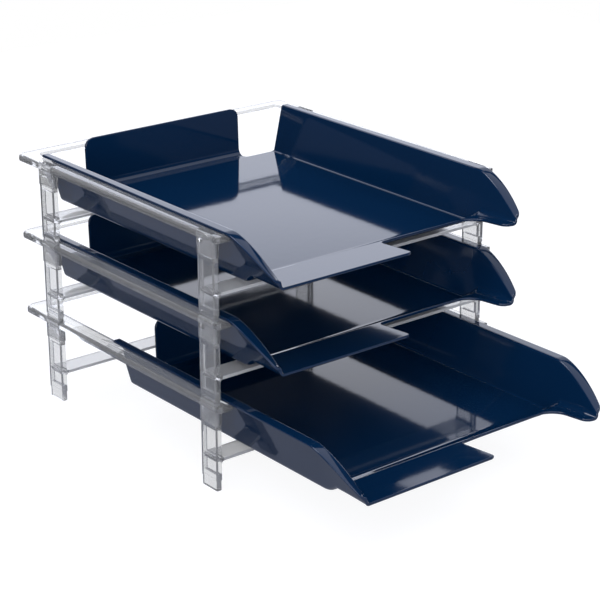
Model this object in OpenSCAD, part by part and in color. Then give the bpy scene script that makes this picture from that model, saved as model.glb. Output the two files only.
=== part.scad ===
// Three-tier letter tray: clear knock-down frames that plug together, and one sliding tray in each.
// X runs across the width, Y from the front to the rear, Z up. Millimetres.

/* [Stack] */
// Height from the feet of one tier to the feet of the next
tier_pitch = 67.3; // [66:0.1:95]
// How far the bottom tray is drawn out of its rim
bottom_pull = 96.5; // [0:0.5:105]

/* [Rim] */
// Width over both side rails
rim_w = 280; // [260:1:340]
// Depth from the front ends of the rails to the rear face
rim_d = 280.5; // [270:0.5:330]
// Width of a side rail
rail_w = 15; // [13:0.5:20]
// Width of the rear rail
rear_rail_w = 12; // [9:0.5:18]
// Thickness of the rails
rail_t = 5; // [4:0.1:6]
// Radius of the outer rear corners
rim_corner_r = 8; // [6:0.5:12]
// Radius of the inner rear corners
rim_inner_r = 4; // [1:0.5:8]
// Rounding along the outer top edge of the rails
rail_edge_r = 2.5; // [1:0.1:3.5]
// Rounding of the front ends of the rails
rail_end_r = 3; // [1:0.5:5]

/* [Uprights] */
// Distance from the front of the front legs to the rear of the rear legs
leg_span = 240.6; // [200:0.2:250]
// How far the rails reach in front of the front legs
rail_reach = 7.7; // [4:0.1:20]
// How far the legs stand in from the outer edge of the rim
leg_inset = 2.5; // [2:0.1:3.5]
// Width of a leg, front to rear
leg_w = 20; // [16:0.5:28]
// Thickness of a leg, outside to inside
leg_t = 5.5; // [5:0.1:7]
// Wall of the hollow side of a leg
leg_wall = 2.2; // [1.4:0.1:2.6]
// Rounding of the upright edges of a leg
leg_edge_r = 1.2; // [0.4:0.1:1.5]
// Height of the reduced foot that plugs into the rim below
foot_h = 8.5; // [7.5:0.1:12]
// Step from the leg in to the foot
foot_step = 0.4; // [0.2:0.1:0.6]
// Solid stretch of the leg above the foot
foot_block_h = 5; // [2:0.5:10]
// Solid stretch of the leg under its head
head_block_h = 4; // [2:0.5:10]
// Height of the crossbar's lower face above the foot
bar_h = 24.5; // [20:0.5:27]
// Thickness of the crossbar
bar_t = 2.5; // [1.5:0.1:3.5]
// How far the crossbar's edges stand in from the leg's faces
bar_inset = 0.4; // [0:0.1:2]
// Radius of the fillets where the crossbar meets the legs
bar_fillet_r = 2; // [1:0.5:6]

/* [Sockets] */
// Depth from the top of the rim to the seat of the foot above
seat_depth = 6.3; // [5.8:0.1:7.4]
// Depth from the top of the rim to the lower edge of a collar
collar_h = 19.1; // [12:0.1:24]
// Wall of a collar
collar_wall = 1.5; // [1.2:0.1:1.7]
// How far a collar stands proud of the leg below it
collar_proud = 0.5; // [0.2:0.1:0.8]
// Rounding of a collar's upright edges
collar_edge_r = 1.6; // [0.8:0.1:2.5]
// Clearance of a leg's head in its collar and of a foot in its slot
fit_gap = 0.2; // [0.1:0.05:0.3]

/* [Tray walls and floor] */
// Depth from the top of the rim to the tray's floor
floor_drop = 38.3; // [30:0.1:40]
// Lean of the side walls out from upright, degrees
wall_lean = 14.4; // [6:0.2:18]
// Thickness of the floor and walls
wall_t = 2.2; // [1.6:0.1:2.6]
// Radius inside the corner of wall and floor
floor_fillet_r = 2.2; // [1:0.1:6]
// Gap between the tray's walls and the rails
guide_gap = 1.1; // [0.5:0.1:2]
// Running gap between a flange and the rail it slides on
slide_gap = 0.2; // [0.1:0.05:0.4]
// Thickness of the flange along the top of a wall
flange_t = 2.2; // [1.6:0.1:3]
// Gap between a flange and the legs of the tier above
flange_gap = 0.7; // [0.4:0.1:1.5]
// How much narrower the flange is at the rear than at the front
flange_taper = 2.3; // [0:0.1:3]
// Rounding of the inner edge of the flange
flange_edge_r = 1.6; // [0.5:0.1:2.5]
// How far the floor's open rear corners stop short of the back panel
corner_gap = 13.5; // [12:0.5:25]
// Lean of the walls' rear ends back from upright, degrees
wall_end_lean = 2; // [0:0.5:6]
// Radius of the walls' lower rear corners
wall_end_r = 5; // [1:0.5:8]

/* [Tray front] */
// Length of the tray from the back panel to the front lip
tray_len = 317; // [290:1:360]
// Length of the raised front lip
lip_len = 54.5; // [48:0.5:70]
// Length of the curved step up to the lip
step_len = 17.6; // [10:0.2:25]
// Rise of the step
step_rise = 7.2; // [4:0.1:9]
// Further rise of the lip to its front edge
lip_rise = 1.4; // [0:0.1:3]
// Length over which the wall's top edge sweeps down to the front tip
wing_len = 51; // [45:0.1:75]
// Length over which that edge starts out level
wing_level = 12; // [8:0.2:25]
// Run of the edge's last stretch, towards the front
wing_run = 17; // [8:0.5:25]
// Fall of the edge's last stretch
wing_fall = 15.8; // [10:0.1:22]
// Height of the wall left at the front tip
tip_h = 2.6; // [2:0.1:6]
// How far the wall flares out at the front tip
tip_flare = 5.1; // [0:0.1:8]
// Width of the flange at the front tip
tip_flange_w = 4.8; // [3:0.1:8]
// Tilt of the flange at the front tip, outer edge up
tip_tilt = 3; // [1:0.1:6]
// Radius of the front corners, seen from above
tip_r = 5; // [2:0.5:6]

/* [Finger notch] */
// How far the notch's rear edge lies in front of the top of the step
notch_ahead = 0.9; // [0:0.1:4]
// Where the notch's left corner lies, right of the middle
notch_left = 6; // [-20:0.5:40]
// How far the side of the tongue leans to the right towards the front
tongue_slant = 2.5; // [0:0.5:15]
// Radius of the notch's left corner
notch_left_r = 5; // [2:0.5:12]
// Radius of the notch's right corner
notch_right_r = 15; // [6:0.5:18]
// Width of lip left between the notch and the right wall
notch_margin = 9; // [8:0.1:12]
// Rounding of the tongue's front corner
tongue_tip_r = 4; // [1:0.5:6]
// Rounding of the front corner on the other side of the notch
strip_tip_r = 7; // [2:0.5:8]

/* [Back panel] */
// Width of the back panel
panel_w = 161; // [120:1:190]
// Height of the panel's top edge above the rim
panel_rise = 4.4; // [1:0.1:10]
// Lean of the panel back from upright, degrees
panel_lean = 2; // [0:0.2:4]
// Radius of the panel's top corners
panel_corner_r = 8; // [2:0.5:20]
// Radius of the bend between floor and panel
panel_bend_r = 6; // [3:0.5:8]
// Radius of the fillets beside the panel's foot
panel_foot_r = 4; // [1:0.5:5]
// Gap between the panel and the rear rail when the tray is pushed in
stop_gap = 0.5; // [0.3:0.1:2]

/* [Hidden] */

clear_tint = [0.86, 0.90, 0.89, 0.45];
navy = [0.05, 0.12, 0.24];

$fn = 48;
arc_steps = 8;
// Small overrun that lets one cut pass cleanly through a face
eps = 0.01;
cut_over = 20;
// How far a rounding cut reaches out past the corner it takes off
trim_over = 2;

// Places along Y, with the legs centred on Y = 0 before the final shift
rim_front_y = -leg_span / 2 - rail_reach;
rim_rear_y = rim_front_y + rim_d;
rear_rail_y = rim_rear_y - rear_rail_w;
panel_y = rear_rail_y - stop_gap;
front_y = panel_y - tray_len;
lip_y = front_y + lip_len;
wing_y = front_y + wing_len;
notch_y = lip_y - step_len - notch_ahead;
corner_y = panel_y - corner_gap;
origin_y = (rim_rear_y + front_y - bottom_pull) / 2;

// Places along X
rail_inner_x = rim_w / 2 - rail_w;
leg_outer_x = rim_w / 2 - leg_inset;
leg_mid_x = leg_outer_x - leg_t / 2;
leg_inner_x = leg_outer_x - leg_t;
leg_mid_y = leg_span / 2 - leg_w / 2;

// Steps of the leg's ends and where the collar's lower edge meets the leg
head_step = collar_wall + fit_gap - collar_proud;
shoulder_z = tier_pitch + seat_depth - collar_h;

// Tray heights, measured from the top of the rim
floor_z = -floor_drop;
flange_z = slide_gap + flange_t;
wall_slant = wall_t / cos(wall_lean);
floor_x = rail_inner_x - guide_gap - wall_slant - floor_drop * tan(wall_lean);
flange_front_x = leg_inner_x - flange_gap;
tip_z = floor_z + step_rise + lip_rise + tip_h;
// Share of the wall's height that a rounding may take where the wall runs low
round_share = 0.4;

// Helpers

function smooth(u) = let (v = min(max(u, 0), 1)) v * v * (3 - 2 * v);

// Point at t on the cubic curve with the four given control points
function bezier(p, t) =
    pow(1 - t, 3) * p[0] + 3 * pow(1 - t, 2) * t * p[1] + 3 * (1 - t) * t * t * p[2] + pow(t, 3) * p[3];

function unit(v) = v / norm(v);

// Arc that rounds corner b of the path a, b, c with radius r
function round_corner(a, b, c, r) =
    let (
        u = unit(a - b),
        v = unit(c - b),
        half = acos(u * v) / 2,
        reach = r / tan(half),
        centre = b + unit(u + v) * r / sin(half),
        from = b + u * reach - centre,
        turn = sign(cross(u, v)) * (180 - 2 * half)
    )
    [for (i = [0 : arc_steps])
        let (s = -turn * i / arc_steps)
        centre + [from.x * cos(s) - from.y * sin(s), from.x * sin(s) + from.y * cos(s)]];

// Outline through the given points, each rounded by its own radius
function rounded_outline(points, radii) =
    let (n = len(points))
    [for (i = [0 : n - 1], p = radii[i] > 0
        ? round_corner(points[(i + n - 1) % n], points[i], points[(i + 1) % n], radii[i])
        : [points[i]]) p];

// Rectangle centred on the origin with true round corners
module round_rect(w, d, r) {
    square([w - 2 * r, d], center = true);
    square([w, d - 2 * r], center = true);
    for (x = [-1, 1], y = [-1, 1])
        translate([x * (w / 2 - r), y * (d / 2 - r)]) circle(r);
}

// Children repeated at the four legs; the X axis of each points outwards
module at_legs() {
    for (x = [0, 1], y = [-1, 1])
        mirror([x, 0, 0]) translate([leg_mid_x, y * leg_mid_y, 0]) children();
}

module place_tier(level) {
    translate([0, -origin_y, level * tier_pitch]) children();
}

// Rim: a flat frame open at the front, with a socket at each leg

// Rectangle of width w from y = front to y = rear, centred on X, with its two rear corners rounded
module rear_rounded(w, front, rear, r) {
    translate([-w / 2, front]) square([w, rear - r - front]);
    translate([-w / 2 + r, front]) square([w - 2 * r, rear - front]);
    for (x = [-1, 1]) translate([x * (w / 2 - r), rear - r]) circle(r);
}

module rim_plate() {
    translate([0, 0, -rail_t]) linear_extrude(rail_t) difference() {
        rear_rounded(rim_w, rim_front_y, rim_rear_y, rim_corner_r);
        rear_rounded(2 * rail_inner_x, rim_front_y - cut_over, rear_rail_y, rim_inner_r);
    }
}

// Section of what rounding takes off a square corner at the origin that points to +X and +Y
module round_off(r) {
    translate([-r, -r]) difference() {
        square(r + trim_over);
        circle(r);
    }
}

// Rounds the rim's outer top edge along the sides, round the corners and along the rear
module rail_edge_cut() {
    for (x = [0, 1]) mirror([x, 0, 0]) {
        translate([rim_w / 2, rim_rear_y - rim_corner_r, 0]) rotate([90, 0, 0])
            linear_extrude(rim_d - rim_corner_r + cut_over) round_off(rail_edge_r);
        translate([rim_w / 2 - rim_corner_r, rim_rear_y - rim_corner_r, 0])
            rotate_extrude(angle = 90) translate([rim_corner_r, 0]) round_off(rail_edge_r);
    }
    translate([-rim_w / 2 + rim_corner_r, rim_rear_y, 0]) rotate([90, 0, 90])
        linear_extrude(rim_w - 2 * rim_corner_r) round_off(rail_edge_r);
}

// Rounds the two front corners of each side rail, seen from above
module rail_end_cut() {
    for (x = [0, 1]) mirror([x, 0, 0])
        translate([rim_w / 2 - rail_w / 2, rim_front_y, -rail_t - cut_over / 2])
            linear_extrude(rail_t + cut_over)
            for (e = [0, 1]) mirror([e, 0]) translate([rail_w / 2, 0]) mirror([0, 1]) round_off(rail_end_r);
}

// Cross-section of a leg, grown on every side by the given amount
module leg_section(grow, r) {
    round_rect(leg_t + 2 * grow, leg_w + 2 * grow, r);
}

module collar() {
    translate([0, 0, -collar_h]) linear_extrude(collar_h - rail_t / 2)
        leg_section(collar_proud, collar_edge_r);
}

// Pocket for the head of the leg below, and above it the wider slot that seats the foot of the next tier
module socket_cut() {
    translate([0, 0, -collar_h - cut_over]) linear_extrude(collar_h + cut_over)
        leg_section(fit_gap - head_step, leg_edge_r);
    translate([0, 0, -seat_depth]) linear_extrude(seat_depth + cut_over)
        leg_section(fit_gap - foot_step, leg_edge_r);
}

module rim() {
    color(clear_tint) translate([0, 0, tier_pitch + seat_depth]) difference() {
        union() {
            rim_plate();
            at_legs() collar();
        }
        at_legs() socket_cut();
        rail_edge_cut();
        rail_end_cut();
    }
}

// Upright: two hollow-backed legs joined by a flat crossbar, drawn with the bar's middle at Y = 0

module leg() {
    hollow_z = foot_h + foot_block_h;
    linear_extrude(foot_h + eps) leg_section(-foot_step, leg_edge_r);
    translate([0, 0, shoulder_z - eps]) linear_extrude(tier_pitch - shoulder_z + eps)
        leg_section(-head_step, leg_edge_r);
    difference() {
        translate([0, 0, foot_h]) linear_extrude(shoulder_z - foot_h) leg_section(0, leg_edge_r);
        translate([-leg_t / 2 - cut_over, -leg_w / 2 + leg_wall, hollow_z])
            cube([
                cut_over + leg_t - leg_wall,
                leg_w - 2 * leg_wall,
                shoulder_z - head_block_h - hollow_z
            ]);
    }
}

// Quarter-round fillet that fills the corner at the origin towards -X and +Y of its section
module bar_fillet() {
    fillet_w = leg_w - 2 * bar_inset;
    translate([0, fillet_w / 2, 0]) rotate([90, 0, 0]) linear_extrude(fillet_w) difference() {
        translate([-bar_fillet_r, -eps]) square([bar_fillet_r + eps, bar_fillet_r + eps]);
        translate([-bar_fillet_r, bar_fillet_r]) circle(bar_fillet_r);
    }
}

module upright() {
    bar_len = 2 * (leg_outer_x - leg_wall);
    color(clear_tint) union() {
        for (x = [0, 1]) mirror([x, 0, 0]) {
            translate([leg_mid_x, 0, 0]) leg();
            translate([leg_inner_x, 0, bar_h + bar_t]) bar_fillet();
            translate([leg_inner_x, 0, bar_h]) mirror([0, 0, 1]) bar_fillet();
        }
        translate([-bar_len / 2, -leg_w / 2 + bar_inset, bar_h])
            cube([bar_len, leg_w - 2 * bar_inset, bar_t]);
    }
}

module front_upright() {
    translate([0, -leg_mid_y, 0]) upright();
}

module rear_upright() {
    translate([0, leg_mid_y, 0]) upright();
}

// Tray: a shell lofted from cross-sections along Y, with a bent-up back panel and a finger notch

// Height of the floor's upper face at y
function floor_at(y) =
    floor_z + step_rise * smooth((lip_y - y) / step_len)
    + lip_rise * max(0, (lip_y - step_len - y) / (lip_len - step_len));

// Share of the way from the start of the lip to the front edge
function front_share(y) = min(max((lip_y - y) / lip_len, 0), 1);

// Share of the way from the start of the wing to the front edge
function wing_share(y) = min(max((wing_y - y) / wing_len, 0), 1);

// Half width of the floor at y, up to the corner of floor and wall
function floor_x_at(y) = floor_x + tip_flare * pow(front_share(y), 2);

// Stations along the tray as [y, height of the flange's top]
wing_steps = 18;
// Stations over which the flange's direction at the tip is taken
tip_steps = 4;
wing_curve = [
    [wing_y, flange_z],
    [wing_y - wing_level, flange_z],
    [front_y + wing_run, tip_z + wing_fall],
    [front_y, tip_z]
];
stations = concat(
    [[corner_y, flange_z], [0, flange_z]],
    [for (i = [0 : wing_steps]) bezier(wing_curve, i / wing_steps)]
);

// Right half of a cross-section as pairs of an upper and a lower point, from the middle outwards
fillet_steps = 5;
function half_section(y, top_z) =
    let (
        z = floor_at(y),
        x = floor_x_at(y),
        w = wing_share(y),
        rise = top_z - z,
        half = (90 - wall_lean) / 2,
        reach = min(floor_fillet_r * tan(half), round_share * rise),
        r = reach / tan(half),
        top_x = x + rise * tan(wall_lean),
        edge = min(flange_edge_r, round_share * rise),
        back = smooth((y - wing_y) / (corner_y - wing_y)),
        outer_x = w > 0
            ? top_x + tip_flange_w + (flange_front_x - top_x - tip_flange_w) * (1 - pow(w, 1.5))
            : flange_front_x - flange_taper * back,
        outer_z = top_z + tip_tilt * w * w,
        wall_foot_z = z + r - (r + wall_t) * sin(wall_lean),
        root_z = max(top_z - flange_t, wall_foot_z + 0.1 * rise),
        root_x = x + (root_z - z) * tan(wall_lean) + wall_slant,
        under = [outer_x, outer_z - flange_t] - [root_x, root_z]
    )
    concat(
        [[[0, z], [0, z - wall_t]]],
        [for (i = [0 : fillet_steps])
            let (a = -90 + (90 - wall_lean) * i / fillet_steps, d = [cos(a), sin(a)])
            [[x - reach, z + r] + r * d, [x - reach, z + r] + (r + wall_t) * d]],
        [
            [[top_x - edge * sin(wall_lean), top_z - edge * cos(wall_lean)], [root_x, root_z]],
            [[top_x + edge * 0.35, top_z - edge * 0.2], [root_x, root_z] + 0.2 * under],
            [[top_x + edge, top_z + (outer_z - top_z) * 0.3], [root_x, root_z] + 0.4 * under],
            [[outer_x, outer_z], [outer_x, outer_z - flange_t]]
        ]
    );

// Whole cross-section as pairs from the left flange to the right one
function section(station) =
    let (h = half_section(station.x, station.y), n = len(h))
    [for (i = [1 - n : n - 1]) [for (p = h[abs(i)]) [i < 0 ? -p.x : p.x, p.y]]];

// The rear end of the shell leans back; every other station is upright
function station_y(i, z) = stations[i].x + (i == 0 ? (z - floor_z) * tan(wall_end_lean) : 0);

module tray_shell() {
    pairs = [for (s = stations) section(s)];
    m = len(pairs[0]);
    last = len(stations) - 1;
    points = [for (i = [0 : last], pair = pairs[i], p = pair) [p.x, station_y(i, p.y), p.y]];
    // Number of the point at station i, pair j, side 0 above or 1 below
    at = function (i, j, side) (i * m + j) * 2 + side;
    faces = concat(
        [for (i = [0 : last - 1], j = [0 : m - 2])
            [at(i, j, 0), at(i, j + 1, 0), at(i + 1, j + 1, 0), at(i + 1, j, 0)]],
        [for (i = [0 : last - 1], j = [0 : m - 2])
            [at(i, j, 1), at(i + 1, j, 1), at(i + 1, j + 1, 1), at(i, j + 1, 1)]],
        [for (i = [0 : last - 1])
            [at(i, 0, 0), at(i + 1, 0, 0), at(i + 1, 0, 1), at(i, 0, 1)]],
        [for (i = [0 : last - 1])
            [at(i, m - 1, 0), at(i, m - 1, 1), at(i + 1, m - 1, 1), at(i + 1, m - 1, 0)]],
        [for (j = [0 : m - 2])
            [at(0, j, 0), at(0, j, 1), at(0, j + 1, 1), at(0, j + 1, 0)]],
        [for (j = [0 : m - 2])
            [at(last, j, 0), at(last, j + 1, 0), at(last, j + 1, 1), at(last, j, 1)]]
    );
    triangles = [for (f = faces) each [[f[0], f[1], f[2]], [f[0], f[2], f[3]]]];
    polyhedron(points, triangles);
}

// Side view of the floor's rear end bent up into the panel, as a solid strip
module panel_profile() {
    foot_y = panel_y - wall_t / cos(panel_lean) + floor_z * tan(panel_lean);
    top_z = panel_rise;
    overlap = panel_bend_r;
    points = [
        [corner_y - overlap, floor_z],
        [foot_y, floor_z],
        [foot_y + (top_z - floor_z) * tan(panel_lean), top_z]
    ];
    inner = concat([points[0]], round_corner(points[0], points[1], points[2], panel_bend_r), [points[2]]);
    low = floor_z - wall_t;
    shift = wall_t / cos(panel_lean);
    outer_foot = [foot_y + shift - wall_t * tan(panel_lean), low];
    outer_top = points[2] + [shift, 0];
    outer_low = [points[0].x, low];
    outer = concat(
        [outer_low],
        round_corner(outer_low, outer_foot, outer_top, panel_bend_r + wall_t),
        [outer_top]
    );
    polygon(concat(inner, [for (i = [len(outer) - 1 : -1 : 0]) outer[i]]));
}

module back_panel() {
    intersection() {
        translate([-panel_w / 2, 0, 0]) rotate([90, 0, 90]) linear_extrude(panel_w) panel_profile();
        translate([0, panel_y + cut_over, 0]) rotate([90, 0, 0])
            linear_extrude(2 * cut_over + corner_gap)
            polygon(rounded_outline(
                [
                    [-panel_w / 2, floor_z - cut_over],
                    [panel_w / 2, floor_z - cut_over],
                    [panel_w / 2, panel_rise],
                    [-panel_w / 2, panel_rise]
                ],
                [0, 0, panel_corner_r, panel_corner_r]
            ));
    }
    for (x = [0, 1]) mirror([x, 0, 0])
        translate([panel_w / 2 - eps, corner_y - eps, floor_z - wall_t]) linear_extrude(wall_t) difference() {
            square(panel_foot_r + eps);
            translate([panel_foot_r + eps, panel_foot_r + eps]) circle(panel_foot_r);
        }
}

// Half width at y up to the notch's right edge
function notch_x_at(y) = floor_x_at(y) - notch_margin;

module notch_cut() {
    edge_steps = 8;
    ahead = front_y - cut_over;
    slope = tongue_slant / (notch_y - front_y);
    tip_x = notch_left + tongue_slant;
    straight_y = notch_y - notch_right_r;
    // Right edge from its rounded corner to the front, beside the flaring wall
    right_edge = [for (i = [1 : edge_steps])
        let (y = straight_y + (front_y - straight_y) * i / edge_steps) [notch_x_at(y), y]];
    strip_tip = [notch_x_at(front_y), front_y];
    corners = [
        [tip_x + slope * cut_over, ahead],
        [notch_left, notch_y],
        [notch_x_at(notch_y), notch_y],
        [notch_x_at(notch_y), straight_y - eps]
    ];
    translate([0, 0, floor_z - cut_over]) linear_extrude(2 * cut_over) {
        polygon(concat(
            rounded_outline(corners, [0, notch_left_r, notch_right_r, 0]),
            right_edge,
            [[notch_x_at(front_y), ahead]]
        ));
        corner_trim([tip_x, front_y], [-1, 0], [-slope, 1], tongue_tip_r);
        corner_trim(strip_tip, [1, 0], right_edge[edge_steps - 2] - strip_tip, strip_tip_r);
    }
}

// Outline of what rounding takes off the corner between directions u and v
module corner_trim(corner, u, v, r) {
    arc = round_corner(corner + u * cut_over, corner, corner + v * cut_over, r);
    polygon(concat([corner - unit(unit(u) + unit(v)) * trim_over], arc));
}

// Outer edge of the flange at station i, seen from above
function flange_edge(i) =
    let (h = half_section(stations[i].x, stations[i].y))
    [h[len(h) - 1][0].x, stations[i].x];

// Rounds the two front corners of the tray, seen from above
module front_corner_cut() {
    last = len(stations) - 1;
    tip = flange_edge(last);
    along = flange_edge(last - tip_steps) - tip;
    for (x = [0, 1]) mirror([x, 0, 0])
        translate([0, 0, floor_z - cut_over]) linear_extrude(3 * cut_over)
            corner_trim(tip, [-1, 0], along, tip_r);
}

// Rounds the lower rear corner of each side wall, seen from the side
module wall_end_cut() {
    side_x = floor_x - wall_end_r;
    corner = [corner_y - wall_t * tan(wall_end_lean), floor_z - wall_t];
    for (x = [0, 1]) mirror([x, 0, 0])
        translate([side_x, 0, 0]) rotate([90, 0, 90]) linear_extrude(cut_over)
            corner_trim(corner, [-1, 0], [tan(wall_end_lean), 1], wall_end_r);
}

module tray() {
    color(navy) translate([0, 0, tier_pitch + seat_depth]) difference() {
        union() {
            tray_shell();
            back_panel();
        }
        notch_cut();
        front_corner_cut();
        wall_end_cut();
    }
}

// Nodes

module rim_bottom() { place_tier(0) rim(); }
module rim_middle() { place_tier(1) rim(); }
module rim_top() { place_tier(2) rim(); }
module front_upright_bottom() { place_tier(0) front_upright(); }
module front_upright_middle() { place_tier(1) front_upright(); }
module front_upright_top() { place_tier(2) front_upright(); }
module rear_upright_bottom() { place_tier(0) rear_upright(); }
module rear_upright_middle() { place_tier(1) rear_upright(); }
module rear_upright_top() { place_tier(2) rear_upright(); }
module tray_bottom() { place_tier(0) translate([0, -bottom_pull, 0]) tray(); }
module tray_middle() { place_tier(1) tray(); }
module tray_top() { place_tier(2) tray(); }

rim_bottom();
rim_middle();
rim_top();
front_upright_bottom();
front_upright_middle();
front_upright_top();
rear_upright_bottom();
rear_upright_middle();
rear_upright_top();
tray_bottom();
tray_middle();
tray_top();
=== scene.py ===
"""Looks of the stacking letter tray: glossy navy trays that slide in clear frames plugged together."""

import logging
import math
from dataclasses import dataclass, field
from enum import Enum

import bmesh
import bpy
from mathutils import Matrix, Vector


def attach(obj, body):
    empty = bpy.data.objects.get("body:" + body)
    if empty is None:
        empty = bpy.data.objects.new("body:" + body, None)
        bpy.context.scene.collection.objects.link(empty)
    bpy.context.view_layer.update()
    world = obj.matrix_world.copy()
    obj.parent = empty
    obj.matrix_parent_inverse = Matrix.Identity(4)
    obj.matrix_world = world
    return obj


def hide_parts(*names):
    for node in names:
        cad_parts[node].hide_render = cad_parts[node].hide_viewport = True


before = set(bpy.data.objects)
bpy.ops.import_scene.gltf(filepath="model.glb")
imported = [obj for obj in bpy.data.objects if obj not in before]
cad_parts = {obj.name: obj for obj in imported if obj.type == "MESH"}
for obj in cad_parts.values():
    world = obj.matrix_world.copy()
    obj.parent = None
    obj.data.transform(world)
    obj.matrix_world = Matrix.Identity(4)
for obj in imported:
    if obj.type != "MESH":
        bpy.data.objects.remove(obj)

MM = 0.001
log = logging.getLogger("letter_tray")

Point = tuple[float, float]
Pair = tuple[Vector, Vector]
Row = list[Pair]


class Tier(Enum):
    """The three levels of the stack, counted from the desk up."""

    BOTTOM = 0
    MIDDLE = 1
    TOP = 2

    @property
    def label(self) -> str:
        """Name of the tier as the nodes spell it."""
        return self.name.lower()


class FramePiece(Enum):
    """The clear mouldings that make up one tier of the frame."""

    RIM = "rim"
    FRONT_UPRIGHT = "front_upright"
    REAR_UPRIGHT = "rear_upright"


class Slot(Enum):
    """Material slots of the record."""

    CLEAR = "clear_frame"
    NAVY = "navy_tray"


# Finishes


class NodeCanvas:
    """Small helper that adds and links the nodes of one material or world."""

    def __init__(self, tree: bpy.types.NodeTree) -> None:
        """Start from an empty tree.

        Args:
            tree: node tree to fill; whatever it holds is removed.
        """
        tree.nodes.clear()
        self.tree = tree
        self._column = 0

    def add(self, kind: str, **settings: object) -> bpy.types.Node:
        """Add a node.

        Args:
            kind: Blender's name of the node type.
            settings: attributes of the node; keys that start with in_ set the input of that name.

        Returns:
            The new node.
        """
        node = self.tree.nodes.new(kind)
        node.location = (self._column * 220, 0)
        self._column += 1
        for key, value in settings.items():
            if key.startswith("in_"):
                node.inputs[key[3:].replace("_", " ")].default_value = value
            else:
                setattr(node, key, value)
        return node

    def link(self, source: bpy.types.NodeSocket, target: bpy.types.NodeSocket) -> None:
        """Join an output socket to an input socket."""
        self.tree.links.new(source, target)

    def ramp(self, source: bpy.types.NodeSocket, low: float, high: float) -> bpy.types.NodeSocket:
        """Map a 0 to 1 value onto a range.

        Args:
            source: socket that gives the value.
            low: result at 0.
            high: result at 1.

        Returns:
            The socket with the mapped value.
        """
        node = self.add("ShaderNodeMapRange", in_To_Min=low, in_To_Max=high)
        self.link(source, node.inputs["Value"])
        return node.outputs["Result"]

    def noise(self, scale: float, detail: float,
              stretch: tuple[float, float, float] = (1, 1, 1)) -> bpy.types.NodeSocket:
        """Noise fixed to the piece itself.

        Args:
            scale: noise cells per metre.
            detail: octaves of finer noise.
            stretch: scale of each axis before the noise.

        Returns:
            The socket with the noise value.
        """
        place = self.add("ShaderNodeTexCoord")
        mapping = self.add("ShaderNodeMapping", in_Scale=stretch)
        noise = self.add("ShaderNodeTexNoise", in_Scale=scale, in_Detail=detail)
        self.link(place.outputs["Object"], mapping.inputs["Vector"])
        self.link(mapping.outputs["Vector"], noise.inputs["Vector"])
        return noise.outputs["Fac"]


@dataclass(frozen=True)
class NavyPlastic:
    """Dyed-through navy plastic; the sizes as they stand are those of the polished faces."""

    name: str = "navy_gloss_plastic"
    dark: tuple[float, float, float] = (0.0011, 0.0118, 0.0380)
    light: tuple[float, float, float] = (0.0016, 0.0146, 0.0450)
    polish_low: float = 0.045
    polish_high: float = 0.085
    index: float = 1.52
    ripple_scale: float = 140.0
    ripple_depth: float = 0.012
    speck_scale: float = 2600.0

    def material(self) -> bpy.types.Material:
        """Build the material.

        Returns:
            A material with slow colour drift, polish that varies, and the faint ripple of a moulding.
        """
        mat = bpy.data.materials.new(self.name)
        mat.use_nodes = True
        mat.diffuse_color = (*self.light, 1.0)
        canvas = NodeCanvas(mat.node_tree)
        drift = canvas.noise(scale=9.0, detail=2.0)
        tint = canvas.add("ShaderNodeMix", data_type="RGBA")
        tint.inputs["A"].default_value = (*self.dark, 1.0)
        tint.inputs["B"].default_value = (*self.light, 1.0)
        canvas.link(drift, tint.inputs["Factor"])
        wear = canvas.noise(scale=self.speck_scale, detail=3.0)
        polish = canvas.ramp(wear, self.polish_low, self.polish_high)
        ripple = canvas.noise(scale=self.ripple_scale, detail=1.0)
        bump = canvas.add("ShaderNodeBump", in_Strength=self.ripple_depth, in_Distance=MM)
        canvas.link(ripple, bump.inputs["Height"])
        shader = canvas.add("ShaderNodeBsdfPrincipled")
        shader.inputs["IOR"].default_value = self.index
        canvas.link(tint.outputs["Result"], shader.inputs["Base Color"])
        canvas.link(polish, shader.inputs["Roughness"])
        canvas.link(bump.outputs["Normal"], shader.inputs["Normal"])
        out = canvas.add("ShaderNodeOutputMaterial")
        canvas.link(shader.outputs["BSDF"], out.inputs["Surface"])
        return mat


@dataclass(frozen=True)
class ClearStyrene:
    """Water-clear moulded plastic with a faint grey tint."""

    name: str = "clear_plastic"
    tint: tuple[float, float, float] = (0.880, 0.882, 0.878)
    clarity: float = 0.90
    gloss: float = 0.35
    index: float = 1.50
    polish_low: float = 0.015
    polish_high: float = 0.045
    flow_scale: float = 90.0
    flow_depth: float = 0.004

    def material(self) -> bpy.types.Material:
        """Build the material.

        Returns:
            A transmitting material with polish that varies and the long faint flow lines of a clear moulding.
        """
        mat = bpy.data.materials.new(self.name)
        mat.use_nodes = True
        mat.diffuse_color = (*self.tint, 0.35)
        canvas = NodeCanvas(mat.node_tree)
        haze = canvas.noise(scale=420.0, detail=3.0)
        polish = canvas.ramp(haze, self.polish_low, self.polish_high)
        flow = canvas.noise(scale=self.flow_scale, detail=2.0, stretch=(0.35, 0.35, 1.0))
        bump = canvas.add("ShaderNodeBump", in_Strength=self.flow_depth, in_Distance=MM)
        canvas.link(flow, bump.inputs["Height"])
        shader = canvas.add("ShaderNodeBsdfPrincipled")
        shader.inputs["Base Color"].default_value = (*self.tint, 1.0)
        shader.inputs["IOR"].default_value = self.index
        shader.inputs["Transmission Weight"].default_value = self.clarity
        shader.inputs["Specular IOR Level"].default_value = self.gloss
        canvas.link(polish, shader.inputs["Roughness"])
        canvas.link(bump.outputs["Normal"], shader.inputs["Normal"])
        out = canvas.add("ShaderNodeOutputMaterial")
        canvas.link(shader.outputs["BSDF"], out.inputs["Surface"])
        return mat


# Sheets with thickness


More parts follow.
